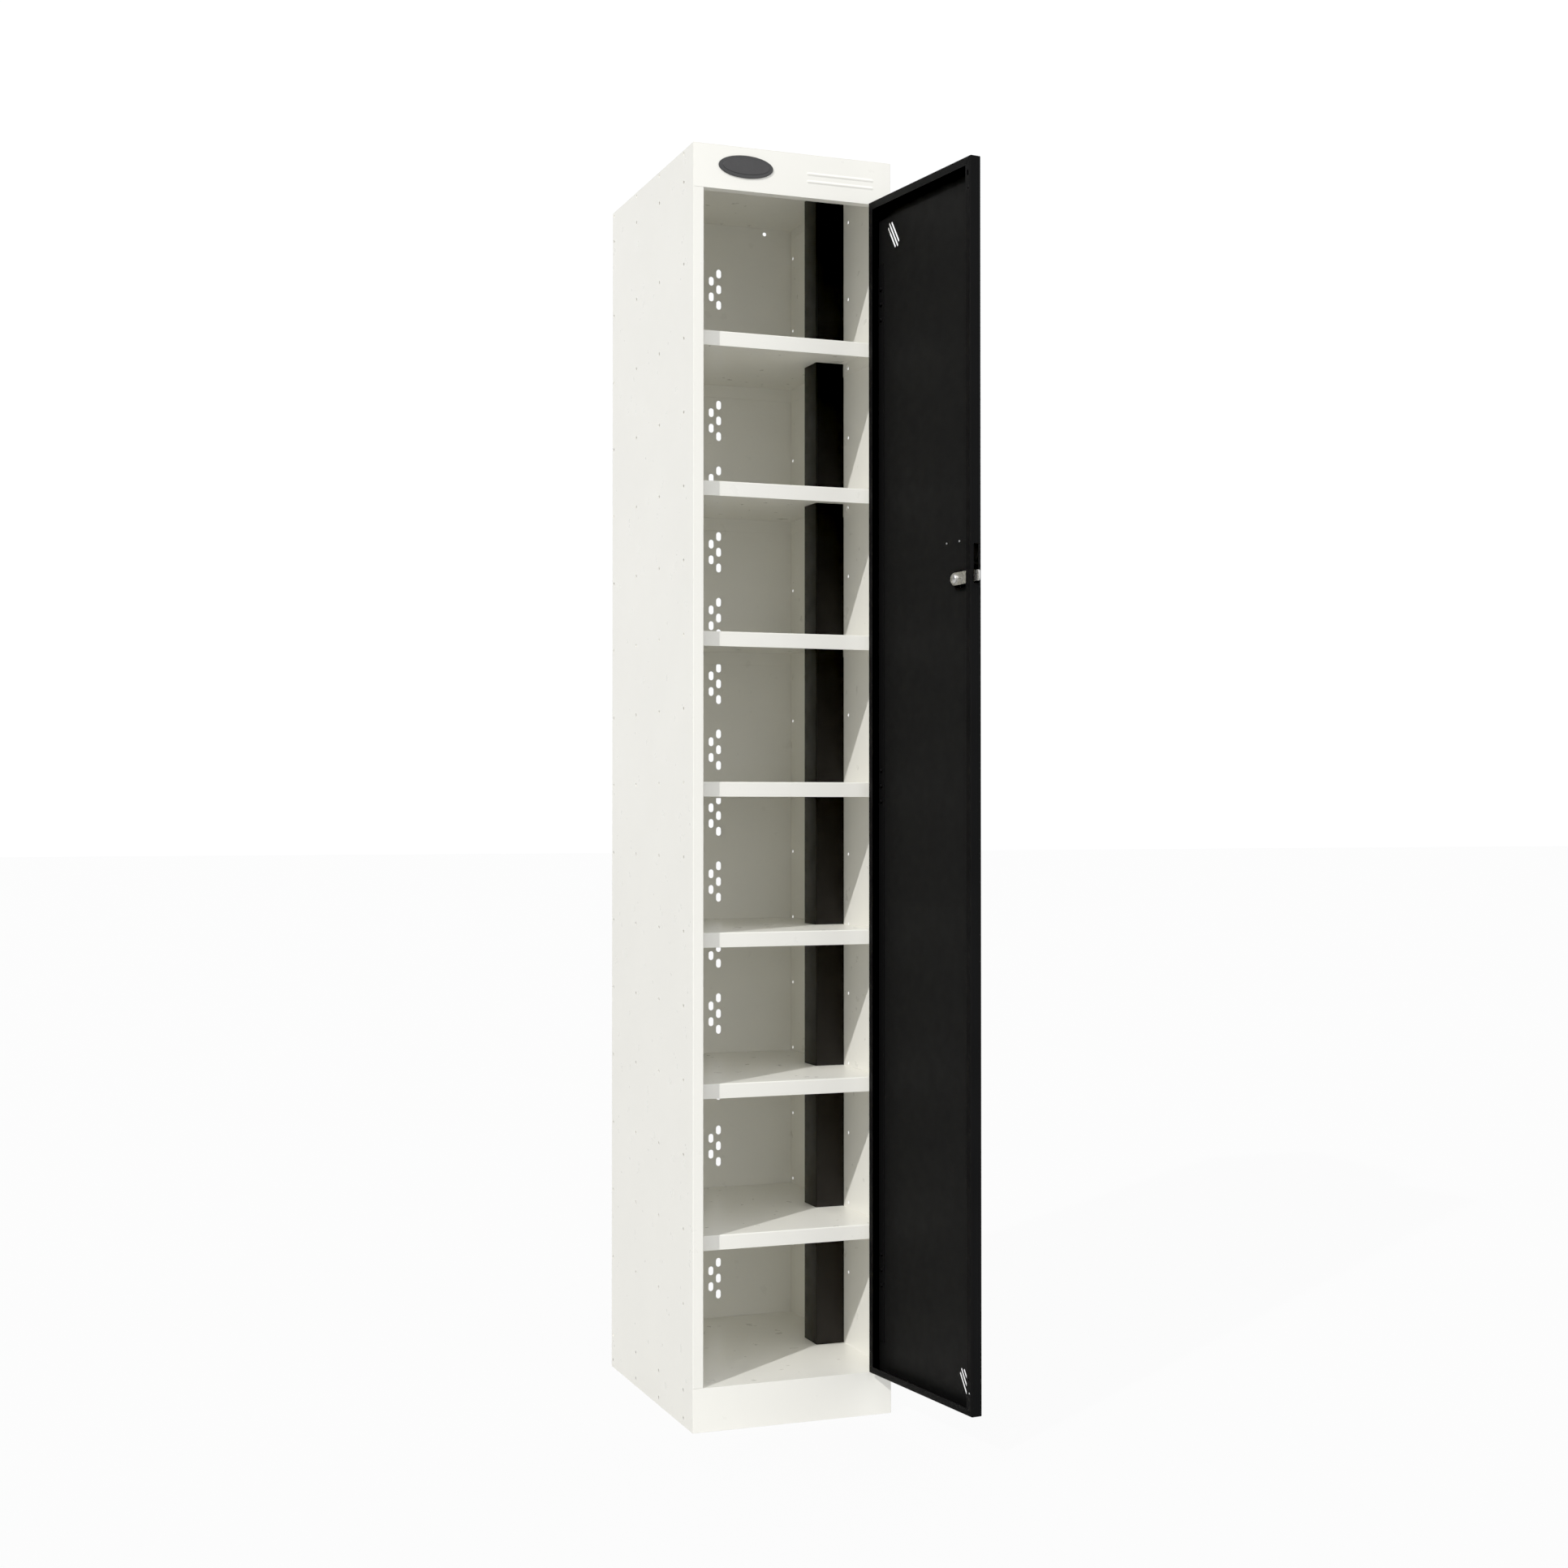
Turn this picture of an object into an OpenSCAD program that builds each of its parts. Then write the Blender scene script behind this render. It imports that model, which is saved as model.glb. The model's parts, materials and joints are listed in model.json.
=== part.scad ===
// Steel locker cabinet: one tall door, eight compartments, full-height service duct.
// Origin: front bottom centre of the cabinet body. +X right, +Y to the back, +Z up.

/* [Cabinet body] */
// Outside width of the body
cab_w = 300; // [280:5:320]
// Outside depth of the body
cab_d = 400; // [390:5:420]
// Outside height of the body
cab_h = 1800; // [1795:5:1810]
// Thickness of the folded steel sheet
sheet = 1.0; // [0.8:0.1:1.2]
// Width of each front upright
upright_w = 15.5; // [15:0.5:17]
// Height of the kick plate under the door
plinth_h = 61.5; // [60:0.5:64]
// Height of the header above the door
header_h = 62; // [60:1:66]

/* [Shelves] */
// Height of the lowest shelf's top face
shelf_first = 267.7; // [264:0.1:270]
// Distance from one shelf to the next
shelf_pitch = 212.6; // [212:0.1:213]
// Height of each shelf's front lip
shelf_lip = 21; // [18:1:24]
// Setback of the shelves behind the front plane
shelf_setback = 24; // [22:1:30]

/* [Service duct] */
// How far the duct stands out from the right wall
duct_w = 45; // [40:1:50]
// Depth of the duct, front to back
duct_d = 50; // [45:1:52]
// Front of the duct behind the front plane
duct_y = 175.5; // [170:0.5:182]

/* [Door] */
// How far the door stands open
door_angle = 97.4; // [0:0.1:170]
// Depth of the door pan
door_t = 17; // [16:0.5:17]
// Gap between the door and each upright
door_gap_side = 0.7; // [0.5:0.1:1.5]
// Gap between the door and the kick plate
door_gap_bottom = 2.2; // [1:0.1:3]
// Gap between the door and the header
door_gap_top = 1.5; // [1:0.1:3]

/* [Lock] */
// Height of the lock's axis
lock_z = 1176.8; // [1170:0.1:1185]
// Lock's axis to the latch edge of the door
lock_edge = 51.4; // [50:0.1:54]
// How far the cam reaches past the latch edge
cam_reach = 11; // [9:0.5:11]

/* [Hinges] */
// Height of the bottom hinge's middle
hinge_bottom_z = 210; // [160:10:300]
// Height of the middle hinge's middle
hinge_middle_z = 900; // [800:10:1000]
// Height of the top hinge's middle
hinge_top_z = 1590; // [1500:10:1600]
// Hinge height
hinge_h = 60; // [50:5:70]
// Radius of the hinge knuckles
knuckle_r = 5; // [4.6:0.1:5.2]
// Radius of the hinge pins
pin_r = 2.5; // [2:0.1:3]

/* [Hidden] */
$fn = 48;

hinge_zs = [hinge_bottom_z, hinge_middle_z, hinge_top_z];
half_w = cab_w / 2;
top_z = cab_h - sheet;              // underside of the top panel
door_top = cab_h - header_h;        // underside of the header
opening_half = half_w - upright_w;  // half the door opening
wall_x = half_w - sheet;            // inner face of each side wall
back_y = cab_d - 2 * sheet;         // inner face of the back panel
back_half = wall_x - 4;             // the rear flanges show beside the back panel

// Holes for bolting lockers side by side: 4 columns of 19 rows
hole_r = 2.5;
hole_cols = [43, 158, 272.5, 392];
hole_pitch = 104.75;
hole_rows = concat([11, 50], [for (k = [0:14]) 170.8 + k * hole_pitch], [1754, 1794]);

// Vents in the back: one cluster of staggered slots for every row of side holes
vent_pitch = 12.5;
vent_w = 8;
vent_l = 13.8;
vent_clusters = 16;
vent_first = 123.4;
vent_step = 104.77;
wall_hole_x = 102.6;
wall_hole_z = 1790.5;
wall_hole_r = 3;

shelf_flange = 20;
side_fold_h = 19;
shelf_clear = 0.5;
fold_hole_r = 4.5;                  // holes along the side folds of shelves and base pan
fold_hole_cols = [43, 158, 272.5];
fold_hole_drop = 9.5;               // their axis below the underside of the sheet they fold from

rebate = 18;      // depth of the door rebate in the uprights
stop_w = 5;       // width of the stop flange behind the door

duct_x = wall_x - duct_w;
duct_gap = 0.6;
notch_y0 = duct_y - duct_gap;           // folds and shelves stop short of the duct
notch_y1 = duct_y + duct_d + duct_gap;

// Door, described closed: outer face on the front plane
door_x = opening_half - door_gap_side;
door_z0 = plinth_h + door_gap_bottom;
door_z1 = door_top - door_gap_top;
lip_latch = 12;
lip_top = 12;
lip_hinge = 11;
lip_bottom = 10;
slit_w = 3.6;
slit_pitch = 5.7;
slit_lengths = [38, 45, 38];
slit_angle = 57.7;
slit_top = [90.8, 1683.6];
slit_bottom = [-96, 97.3];
slot_y0 = 4.5;
slot_y1 = 11.9;
slot_below = 9.8;
slot_above = 43.5;

// Hinges: surface leaves with three knuckles
pivot_x = 134;
pivot_y = -6;
leaf_t = 2;
pin_gap = 0.05;
knuckle_gap = 0.3;
knuckle_clear = 0.5;
rivet_r = 1.9;
rivet_hole_r = 2;
rivet_head_r = 3;
rivet_head_h = 1.2;
rivet_tail_r = 2.7;
rivet_tail_h = 2;
frame_rivet_x = 143.5;
frame_rivet_dz = [-18, 18];
door_rivet_x = 123.5;
door_rivet_dz = [-22, 0, 22];

stiffener_z0 = 107.4;
stiffener_z1 = 1647.9;
stiffener_leg = 16;
stiffener_t = 0.8;

lock_x = lock_edge - door_x;
lock_r = 8;
plug_r = 6.5;
cam_t = 2.5;
cam_y = 7.4;
cam_crank = 1.5;
cam_w = 17;
cam_tip_w = 14.5;
cam_end = door_x + cam_reach;       // distance of the tip from the middle plane
cam_square = 7;
cam_screw_r = 7;

plate_x = -66.4;
plate_z = 1228.5;
plate_w = 56;
plate_h = 24;
plate_rivet_dx = 16;
plate_rivet_r = 1;
plate_rivet_hole_r = 1.1;

badge_x = -72.2;
badge_z = 1771.9;
badge_a = 40.8;
badge_b = 15.9;
badge_t = 2;
rib_x0 = 19.5;
rib_x1 = 123.7;
rib_zs = [1761, 1772];
rib_w = 6;
rib_h = 0.8;

body_paint = [0.94, 0.935, 0.92];
door_paint = [0.09, 0.09, 0.09];
duct_paint = [0.06, 0.06, 0.06];
steel = [0.75, 0.75, 0.76];
dark_plastic = [0.26, 0.27, 0.28];

// A flat plate whose outline is drawn in X and Z, from y0 towards the back
module xz_plate(y0, t) {
    translate([0, y0 + t, 0]) rotate([90, 0, 0]) linear_extrude(t) children();
}

// A flat plate whose outline is drawn in Y and Z, from x0 to the right
module yz_plate(x0, t) {
    translate([x0, 0, 0]) rotate([90, 0, 90]) linear_extrude(t) children();
}

// A block from corner a to corner b
module block(a, b) {
    translate(a) cube(b - a);
}

// A round bar along +Y
module y_bar(x, y0, z, r, h) {
    translate([x, y0, z]) rotate([-90, 0, 0]) cylinder(r = r, h = h);
}

// Obround with its length along x
module obround(length, width) {
    square([length - width, width], center = true);
    for (s = [-1, 1]) {
        translate([s * (length - width) / 2, 0]) circle(d = width);
    }
}

// Turns a part drawn on the closed door to where the door stands
module on_door() {
    translate([pivot_x, pivot_y, 0])
        rotate([0, 0, door_angle])
            translate([-pivot_x, -pivot_y, 0])
                children();
}

module side_hole_pattern(r) {
    for (y = hole_cols, z = hole_rows) {
        translate([y, z]) circle(r = r);
    }
}

// Side panel: wall with its hole pattern, rear flange and foot flange
module side_panel(side) {
    color(body_paint) mirror([side > 0 ? 1 : 0, 0, 0]) {
        yz_plate(-half_w, sheet) difference() {
            translate([sheet, 0]) square([cab_d - sheet, top_z]);
            side_hole_pattern(hole_r);
        }
        block([-wall_x, cab_d - sheet, 0], [-half_w + upright_w, cab_d, top_z]);
        block([-wall_x, 26, 0], [-half_w + upright_w, back_y, sheet]);
    }
}

// Slot that the lock cam swings through, drawn in Y and Z
module cam_slot() {
    translate([slot_y0, lock_z - slot_below])
        square([slot_y1 - slot_y0, slot_below + slot_above]);
}

// Front upright: side leg, front face, return beside the door and stop flange
module upright(side) {
    inner = -opening_half;
    color(body_paint) mirror([side > 0 ? 1 : 0, 0, 0]) {
        block([-wall_x, sheet, plinth_h], [-wall_x + sheet, 21, door_top]);
        difference() {
            block([-half_w, 0, plinth_h], [inner, sheet, door_top]);
            if (side > 0) {
                for (zc = hinge_zs, dz = frame_rivet_dz) {
                    y_bar(-frame_rivet_x, -1, zc + dz, rivet_hole_r, 3);
                }
            }
        }
        yz_plate(inner - sheet, sheet) difference() {
            translate([sheet, plinth_h]) square([rebate, door_top - plinth_h]);
            if (side < 0) cam_slot();
        }
        block([inner, rebate, plinth_h], [inner + stop_w, rebate + sheet, door_top]);
    }
}

// One cluster of vents: two staggered columns on each side of the middle
module vent_cluster() {
    for (i = [-2, -1, 1, 2]) {
        rows = i % 2 == 0 ? 3 : 2;
        for (j = [0:rows - 1]) {
            translate([i * vent_pitch, (2 * j - rows + 1) * vent_pitch])
                rotate(90) obround(vent_l, vent_w);
        }
    }
}

module back_panel() {
    color(body_paint) xz_plate(back_y, sheet) difference() {
        translate([-back_half, 0]) square([2 * back_half, top_z]);
        for (k = [0:vent_clusters - 1]) {
            translate([0, vent_first + k * vent_step]) vent_cluster();
        }
        for (s = [-1, 1]) {
            translate([s * wall_hole_x, wall_hole_z]) circle(r = wall_hole_r);
        }
    }
}

// A fold down a side wall from the sheet whose underside is at z1, with its row of holes
module side_fold(side, y0, y1, z1) {
    yz_plate(side < 0 ? -wall_x : wall_x - sheet, sheet) difference() {
        translate([y0, z1 - side_fold_h]) square([y1 - y0, side_fold_h]);
        for (y = fold_hole_cols) {
            translate([y, z1 - fold_hole_drop]) circle(r = fold_hole_r);
        }
    }
}

module top_panel() {
    color(body_paint) {
        block([-half_w, 0, top_z], [half_w, cab_d, cab_h]);
        block([-wall_x, 24, top_z - 12], [-wall_x + sheet, 397, top_z]);
        block([wall_x - sheet, 24, top_z - 12], [wall_x, notch_y0, top_z]);
        block([wall_x - sheet, notch_y1, top_z - 12], [wall_x, 397, top_z]);
    }
}

module base_pan() {
    floor_z = plinth_h - sheet;
    color(body_paint) {
        block([-wall_x, sheet, floor_z], [wall_x, back_y - shelf_clear, plinth_h]);
        for (s = [-1, 1]) {
            side_fold(s, 24, 397, floor_z);
        }
        block([-wall_x + 2, back_y - shelf_clear - sheet, floor_z - shelf_flange],
              [wall_x - 2, back_y - shelf_clear, floor_z]);
    }
}

// Kick plate with a fold under the base pan and a foot flange
module plinth() {
    color(body_paint) {
        block([-half_w, 0, 0], [half_w, sheet, plinth_h]);
        block([-wall_x + 2, sheet, plinth_h - 2 * sheet], [wall_x - 2, 20, plinth_h - sheet]);
        block([-wall_x, sheet, 0], [wall_x, 25, sheet]);
    }
}

// Header above the door, with two plain pressed ribs
module header_fascia() {
    color(body_paint) {
        block([-half_w, 0, door_top], [half_w, sheet, top_z]);
        block([-wall_x, sheet, door_top], [wall_x, door_t, door_top + sheet]);
        block([-wall_x, door_t - sheet, door_top + sheet], [wall_x, door_t, door_top + 13]);
        block([-wall_x + 2, sheet, top_z - sheet], [wall_x - 2, 18, top_z]);
        for (z = rib_zs) {
            xz_plate(-rib_h, rib_h + sheet / 2)
                translate([(rib_x0 + rib_x1) / 2, z]) obround(rib_x1 - rib_x0, rib_w);
        }
    }
}

// Shelf: tray folded down on four sides, with a notch round the duct
module shelf(k) {
    z1 = shelf_first + (k - 1) * shelf_pitch;
    z0 = z1 - sheet;
    y1 = back_y - shelf_clear;
    color(body_paint) {
        translate([0, 0, z0]) linear_extrude(sheet) difference() {
            translate([-wall_x, shelf_setback]) square([2 * wall_x, y1 - shelf_setback]);
            translate([duct_x - duct_gap, notch_y0])
                square([duct_w + duct_gap + 1, notch_y1 - notch_y0]);
        }
        block([-wall_x + 0.3, shelf_setback, z1 - shelf_lip],
              [wall_x - 0.3, shelf_setback + sheet, z0]);
        block([-wall_x + 2, y1 - sheet, z1 - shelf_flange], [wall_x - 2, y1, z0]);
        side_fold(-1, shelf_setback + 2, y1, z0);
        side_fold(1, shelf_setback + 2, notch_y0, z0);
        side_fold(1, notch_y1, y1, z0);
    }
}

duct_z0 = plinth_h + 0.2;
duct_z1 = top_z - 0.3;

// Channel of the duct, welded to the right wall
module duct_channel() {
    y0 = duct_y + sheet + 0.1;
    y1 = duct_y + duct_d - sheet - 0.1;
    x0 = wall_x - 22;
    color(steel) {
        block([wall_x - sheet, y0, duct_z0], [wall_x, y1, duct_z1]);
        block([x0, y0, duct_z0], [wall_x - sheet, y0 + sheet, duct_z1]);
        block([x0, y1 - sheet, duct_z0], [wall_x - sheet, y1, duct_z1]);
    }
}

// Cover of the duct, a snap-on channel
module duct_cover() {
    color(duct_paint) {
        block([duct_x, duct_y, duct_z0], [duct_x + sheet, duct_y + duct_d, duct_z1]);
        block([duct_x + sheet, duct_y, duct_z0], [wall_x - 0.2, duct_y + sheet, duct_z1]);
        block([duct_x + sheet, duct_y + duct_d - sheet, duct_z0],
              [wall_x - 0.2, duct_y + duct_d, duct_z1]);
    }
}

function ellipse_points(a, b, n) = [for (i = [0:n - 1]) [a * cos(360 * i / n), b * sin(360 * i / n)]];

module badge_plate() {
    color(dark_plastic) xz_plate(-badge_t, badge_t)
        translate([badge_x, badge_z]) polygon(ellipse_points(badge_a, badge_b, 72));
}

module badge_inlay() {
    color([0.42, 0.43, 0.45]) xz_plate(-badge_t - 0.6, 0.6)
        translate([badge_x, badge_z]) polygon(ellipse_points(badge_a - 6, badge_b - 5, 72));
}

// One hinge barrel section, centred on the hinge line
module knuckle(z0, h) {
    translate([pivot_x, pivot_y, z0]) cylinder(r = knuckle_r, h = h);
}

module pin_bore(zc) {
    translate([pivot_x, pivot_y, zc - hinge_h]) cylinder(r = pin_r + pin_gap, h = 2 * hinge_h);
}

// Fixed leaf: two end knuckles and a plate on the upright
module hinge_frame_leaf(zc) {
    z0 = zc - hinge_h / 2;
    end_h = hinge_h / 4;
    color(steel) difference() {
        union() {
            for (z = [z0, z0 + hinge_h - end_h]) {
                knuckle(z, end_h);
                block([pivot_x, -leaf_t, z], [half_w - 1, 0, z + end_h]);
            }
            block([pivot_x + knuckle_r + knuckle_clear, -leaf_t, z0], [half_w - 1, 0, z0 + hinge_h]);
        }
        pin_bore(zc);
        for (dz = frame_rivet_dz) {
            y_bar(frame_rivet_x, -leaf_t - 1, zc + dz, rivet_hole_r, leaf_t + 2);
        }
    }
}

// Moving leaf: one middle knuckle and a plate on the door
module hinge_door_leaf(zc) {
    z0 = zc - hinge_h / 2;
    mid_z0 = z0 + hinge_h / 4 + knuckle_gap;
    mid_h = hinge_h / 2 - 2 * knuckle_gap;
    x0 = 114;
    color(steel) on_door() difference() {
        union() {
            knuckle(mid_z0, mid_h);
            block([x0, -leaf_t, mid_z0], [pivot_x, 0, mid_z0 + mid_h]);
            block([x0, -leaf_t, z0], [pivot_x - knuckle_r - knuckle_clear, 0, z0 + hinge_h]);
        }
        pin_bore(zc);
        for (dz = door_rivet_dz) {
            y_bar(door_rivet_x, -leaf_t - 1, zc + dz, rivet_hole_r, leaf_t + 2);
        }
    }
}

module hinge_pin(zc) {
    color(steel) translate([pivot_x, pivot_y, zc - hinge_h / 2]) {
        cylinder(r = pin_r, h = hinge_h);
        for (z = [-1.5, hinge_h]) {
            translate([0, 0, z]) cylinder(r = pin_r + 1.3, h = 1.5);
        }
    }
}

// Rivet along Y: head in front of y0, shank through a grip, tail behind it
module rivet(x, y0, z, grip, r, head_r, head_h, tail_r, tail_h) {
    y_bar(x, y0 - head_h, z, head_r, head_h);
    y_bar(x, y0, z, r, grip);
    y_bar(x, y0 + grip, z, tail_r, tail_h);
}

module hinge_frame_rivets() {
    color(steel) for (zc = hinge_zs, dz = frame_rivet_dz) {
        rivet(frame_rivet_x, -leaf_t, zc + dz, leaf_t + sheet, rivet_r,
              rivet_head_r, rivet_head_h, rivet_tail_r, rivet_tail_h);
    }
}

module hinge_door_rivets() {
    color(steel) on_door() for (zc = hinge_zs, dz = door_rivet_dz) {
        rivet(door_rivet_x, -leaf_t, zc + dz, leaf_t + sheet + stiffener_t, rivet_r,
              rivet_head_r, rivet_head_h, rivet_tail_r, rivet_tail_h);
    }
}

// Three parallel slits, the middle one longer
module slit_group(centre) {
    translate(centre) rotate(slit_angle) for (i = [0:2]) {
        translate([0, (i - 1) * slit_pitch]) obround(slit_lengths[i], slit_w);
    }
}

// Edge lips of the door, mitred at the latch side
module door_lips() {
    xz_plate(door_t - sheet, sheet) difference() {
        translate([-door_x, door_z0]) square([2 * door_x, door_z1 - door_z0]);
        translate([-door_x + lip_latch, door_z0 + lip_bottom])
            square([2 * door_x - lip_latch - lip_hinge, door_z1 - door_z0 - lip_top - lip_bottom]);
        translate([-door_x, door_z1]) rotate(-45) translate([2, -0.2]) square([16, 0.4]);
        translate([-door_x, door_z0]) rotate(atan(lip_bottom / lip_latch))
            translate([2, -0.2]) square([16, 0.4]);
        translate([-door_x + 5.8, 1714]) rotate(90) obround(8, 3);
        for (z = [1692.8, 112.5, 94.4]) {
            translate([-door_x + 5.8, z]) circle(r = 1.5);
        }
    }
}

// Door: a pan with flanges on four sides and lips turned in from them
module door_panel() {
    color(door_paint) on_door() {
        xz_plate(0, sheet) difference() {
            translate([-door_x, door_z0]) square([2 * door_x, door_z1 - door_z0]);
            slit_group(slit_top);
            slit_group(slit_bottom);
            translate([lock_x, lock_z]) circle(r = lock_r + 0.2);
            for (s = [-1, 1]) {
                translate([plate_x + s * plate_rivet_dx, plate_z]) circle(r = plate_rivet_hole_r);
            }
            for (zc = hinge_zs, dz = door_rivet_dz) {
                translate([door_rivet_x, zc + dz]) circle(r = rivet_hole_r);
            }
        }
        yz_plate(-door_x, sheet) difference() {
            translate([sheet, door_z0]) square([door_t - 2 * sheet, door_z1 - door_z0]);
            cam_slot();
        }
        block([door_x - sheet, sheet, door_z0], [door_x, door_t - sheet, door_z1]);
        for (z = [door_z0, door_z1 - sheet]) {
            block([-door_x + sheet, sheet, z], [door_x - sheet, door_t - sheet, z + sheet]);
        }
        door_lips();
    }
}

// Angle inside the hinge edge that the hinge rivets pass through
module door_stiffener() {
    x1 = door_x - sheet;
    color(door_paint) on_door() {
        block([x1 - stiffener_t, sheet, stiffener_z0], [x1, door_t - 2 * sheet, stiffener_z1]);
        xz_plate(sheet, stiffener_t) difference() {
            translate([x1 - stiffener_leg, stiffener_z0])
                square([stiffener_leg - stiffener_t, stiffener_z1 - stiffener_z0]);
            for (zc = hinge_zs, dz = door_rivet_dz) {
                translate([door_rivet_x, zc + dz]) circle(r = rivet_hole_r);
            }
        }
    }
}

module lock_body() {
    color(steel) on_door() difference() {
        union() {
            y_bar(lock_x, -3, lock_z, 12, 3);
            y_bar(lock_x, 0, lock_z, lock_r, cam_y - 0.3);
        }
        y_bar(lock_x, -4, lock_z, plug_r + pin_gap, 14);
    }
}

module lock_nut() {
    color(door_paint) on_door() difference() {
        translate([lock_x, sheet, lock_z]) rotate([-90, 0, 0]) cylinder(r = 13.5, h = 4, $fn = 6);
        y_bar(lock_x, 0, lock_z, lock_r + 0.1, 8);
    }
}

module number_plate() {
    color(steel) on_door() xz_plate(-1, 1) difference() {
        translate([plate_x - plate_w / 2, plate_z - plate_h / 2]) square([plate_w, plate_h]);
        for (s = [-1, 1]) {
            translate([plate_x + s * plate_rivet_dx, plate_z]) circle(r = plate_rivet_hole_r);
        }
    }
}

module number_plate_rivets() {
    color(steel) on_door() for (s = [-1, 1]) {
        rivet(plate_x + s * plate_rivet_dx, -1, plate_z, 1 + sheet, plate_rivet_r, 2, 0.7, 1.3, 1.2);
    }
}

// Turning plug with a key slot in front and a square for the cam behind
module lock_plug() {
    color(steel) on_door() difference() {
        union() {
            y_bar(lock_x, -3.6, lock_z, plug_r, 3.6 + cam_y);
            block([lock_x - cam_square / 2, cam_y, lock_z - cam_square / 2],
                  [lock_x + cam_square / 2, cam_y + cam_t, lock_z + cam_square / 2]);
        }
        block([lock_x - 0.7, -5, lock_z - 4], [lock_x + 0.7, 1, lock_z + 4]);
        y_bar(lock_x, 3, lock_z, 2.05, 12);
    }
}

// Cranked bar: hub on the plug, tip through the slot in the door's edge
module lock_cam() {
    bend = [-100, -106];
    color(steel) on_door() {
        xz_plate(cam_y, cam_t) difference() {
            union() {
                translate([lock_x, lock_z]) circle(d = cam_w);
                translate([bend[0], lock_z - cam_w / 2]) square([lock_x - bend[0], cam_w]);
            }
            translate([lock_x, lock_z]) square(cam_square + 0.1, center = true);
        }
        translate([0, 0, lock_z - cam_w / 2]) linear_extrude(cam_w) polygon([
            [bend[0], cam_y],
            [bend[0], cam_y + cam_t],
            [bend[1], cam_y + cam_crank + cam_t],
            [bend[1], cam_y + cam_crank]
        ]);
        xz_plate(cam_y + cam_crank, cam_t) polygon([
            [bend[1], lock_z - cam_w / 2],
            [bend[1], lock_z + cam_w / 2],
            [2 - cam_end, lock_z + cam_tip_w / 2],
            [-cam_end, lock_z + cam_tip_w / 2 - 3],
            [-cam_end, lock_z - cam_tip_w / 2 + 3],
            [2 - cam_end, lock_z - cam_tip_w / 2]
        ]);
    }
}

// Domed screw that holds the cam on the plug
module cam_screw() {
    head_y = cam_y + cam_t;
    dome_r = 9.7;
    color(steel) on_door() {
        y_bar(lock_x, 4, lock_z, 2, head_y - 4);
        y_bar(lock_x, head_y, lock_z, cam_screw_r, 1);
        intersection() {
            translate([lock_x, head_y + 4 - dome_r, lock_z]) sphere(r = dome_r);
            y_bar(lock_x, head_y + 1, lock_z, cam_screw_r, 6);
        }
    }
}

side_panel(-1);  // side_panel_left
side_panel(1);  // side_panel_right
upright(-1);  // upright_left
upright(1);  // upright_right
back_panel();
top_panel();
base_pan();
plinth();
header_fascia();
shelf(1);  // shelf_1
shelf(2);  // shelf_2
shelf(3);  // shelf_3
shelf(4);  // shelf_4
shelf(5);  // shelf_5
shelf(6);  // shelf_6
shelf(7);  // shelf_7
duct_channel();
duct_cover();
badge_plate();
badge_inlay();
hinge_frame_leaf(hinge_bottom_z);  // hinge_bottom_frame_leaf
hinge_frame_leaf(hinge_middle_z);  // hinge_middle_frame_leaf
hinge_frame_leaf(hinge_top_z);  // hinge_top_frame_leaf
hinge_door_leaf(hinge_bottom_z);  // hinge_bottom_door_leaf
hinge_door_leaf(hinge_middle_z);  // hinge_middle_door_leaf
hinge_door_leaf(hinge_top_z);  // hinge_top_door_leaf
hinge_pin(hinge_bottom_z);  // hinge_bottom_pin
hinge_pin(hinge_middle_z);  // hinge_middle_pin
hinge_pin(hinge_top_z);  // hinge_top_pin
hinge_frame_rivets();
hinge_door_rivets();
door_panel();
door_stiffener();
lock_body();
lock_nut();
number_plate();
number_plate_rivets();
lock_plug();
lock_cam();
cam_screw();
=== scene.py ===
"""Looks of the steel locker cabinet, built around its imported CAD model.

Everything is in metres in the CAD frame: +X right, +Y to the back, +Z up, front face on Y = 0.
Pieces of the door and of the lock are drawn on the closed door and placed by OPEN.
"""

import json
import math

import bmesh
import bpy
from mathutils import Matrix, Vector

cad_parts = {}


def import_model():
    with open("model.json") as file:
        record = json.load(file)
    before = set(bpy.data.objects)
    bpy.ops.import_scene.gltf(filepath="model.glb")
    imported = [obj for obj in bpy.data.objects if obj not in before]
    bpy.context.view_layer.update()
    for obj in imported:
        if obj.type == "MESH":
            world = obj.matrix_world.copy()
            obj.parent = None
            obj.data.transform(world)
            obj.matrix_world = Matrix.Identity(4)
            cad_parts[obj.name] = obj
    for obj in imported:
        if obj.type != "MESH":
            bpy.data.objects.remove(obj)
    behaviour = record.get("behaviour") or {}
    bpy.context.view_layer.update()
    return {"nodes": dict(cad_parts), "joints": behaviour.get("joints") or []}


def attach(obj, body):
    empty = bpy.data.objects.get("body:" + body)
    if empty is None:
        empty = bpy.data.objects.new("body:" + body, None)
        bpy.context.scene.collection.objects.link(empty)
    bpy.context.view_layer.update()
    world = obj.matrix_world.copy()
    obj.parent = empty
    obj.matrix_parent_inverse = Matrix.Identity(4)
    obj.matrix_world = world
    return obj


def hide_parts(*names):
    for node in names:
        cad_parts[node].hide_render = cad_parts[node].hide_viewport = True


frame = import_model()

MM = 0.001
SHEET = 1.0 * MM  # thickness of the folded steel
BEND = 1.2 * MM  # middle radius of a fold
EDGE = 0.3 * MM  # rounding of a cut edge

# ---------------------------------------------------------------- placing


def joint(name):
    return next(j for j in frame["joints"] if j["name"] == name)


hinge = joint("door_hinge")
pivot = Vector(hinge["pos_m"])
OPEN = (
    Matrix.Translation(pivot)
    @ Matrix.Rotation(math.radians(-hinge["range_deg"][0]), 4, "Z")
    @ Matrix.Translation(-pivot)
)
FIXED = Matrix.Identity(4)


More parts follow.
